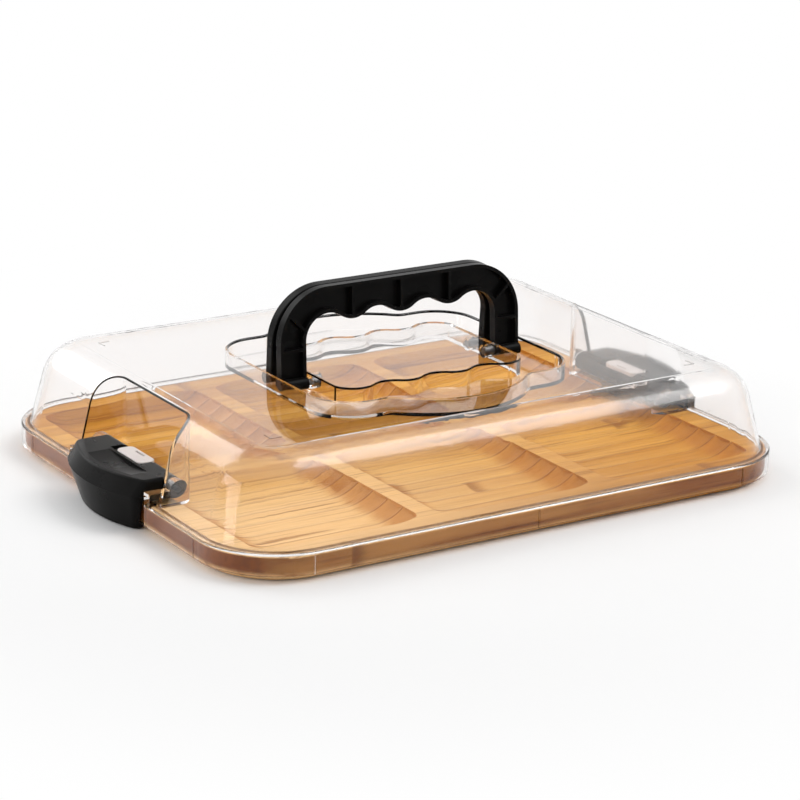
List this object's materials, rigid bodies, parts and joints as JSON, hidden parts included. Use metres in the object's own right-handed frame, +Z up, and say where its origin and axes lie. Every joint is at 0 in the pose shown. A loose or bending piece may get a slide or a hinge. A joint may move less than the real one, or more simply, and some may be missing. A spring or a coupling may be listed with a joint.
{
  "type": "cheese tray with lid",
  "caption": "Bamboo cheese board with fluted wells under a clear locking cover that has a fold-down carry handle and side latches.",
  "frame": {"origin": "centre of the tray board's flat underside, on the surface that it stands on", "axes": "+X along the tray's length towards the right latch, +Y from the front edge to the rear edge, +Z up"},
  "size_m": [0.412, 0.3072, 0.1157],
  "materials": {
    "bamboo": "light carbonised bamboo, oiled",
    "clear_plastic": "clear glossy plastic",
    "black_plastic": "satin black plastic",
    "steel": "plain steel",
    "light_grey_plastic": "light grey plastic"
  },
  "bodies": {
    "tray": {"tray_board": "bamboo"},
    "cover": {"cover_shell": "clear_plastic", "handle_front_pins": "steel", "handle_rear_pins": "steel", "latch_left_hinge_pin": "steel", "latch_right_hinge_pin": "steel"},
    "handle_front": {"handle_front": "black_plastic"},
    "handle_rear": {"handle_rear": "black_plastic"},
    "latch_left": {"latch_left_cap": "black_plastic", "latch_left_jaw": "black_plastic", "latch_left_screws": "steel"},
    "lock_left": {"latch_left_lock_slider": "light_grey_plastic"},
    "latch_right": {"latch_right_cap": "black_plastic", "latch_right_jaw": "black_plastic", "latch_right_screws": "steel"},
    "lock_right": {"latch_right_lock_slider": "light_grey_plastic"}
  },
  "joints": [
    {"name": "cover_lift", "type": "slide", "parent": "tray", "child": "cover", "axis": [0, 0, 1], "range_m": [0, 0.02]},
    {"name": "handle_front_fold", "type": "hinge", "parent": "cover", "child": "handle_front", "pos_m": [0, -0.0088, 0.0602], "axis": [1, 0, 0], "range_deg": [0, 93.1]},
    {"name": "handle_rear_fold", "type": "hinge", "parent": "cover", "child": "handle_rear", "pos_m": [0, 0.0088, 0.0602], "axis": [-1, 0, 0], "range_deg": [0, 93.1]},
    {"name": "latch_left_swing", "type": "hinge", "parent": "cover", "child": "latch_left", "pos_m": [-0.171, 0, 0.0245], "axis": [0, 1, 0], "range_deg": [0, 90]},
    {"name": "latch_right_swing", "type": "hinge", "parent": "cover", "child": "latch_right", "pos_m": [0.171, 0, 0.0245], "axis": [0, -1, 0], "range_deg": [0, 90]},
    {"name": "lock_left_slide", "type": "slide", "parent": "latch_left", "child": "lock_left", "axis": [0, 1, 0], "range_m": [0, 0.005]},
    {"name": "lock_right_slide", "type": "slide", "parent": "latch_right", "child": "lock_right", "axis": [0, 1, 0], "range_m": [0, 0.005]}
  ],
  "couplings": [
    {"joint": "latch_left_swing", "follows": "cover_lift", "rad_per_m": 78.5},
    {"joint": "latch_right_swing", "follows": "cover_lift", "rad_per_m": 78.5}
  ]
}
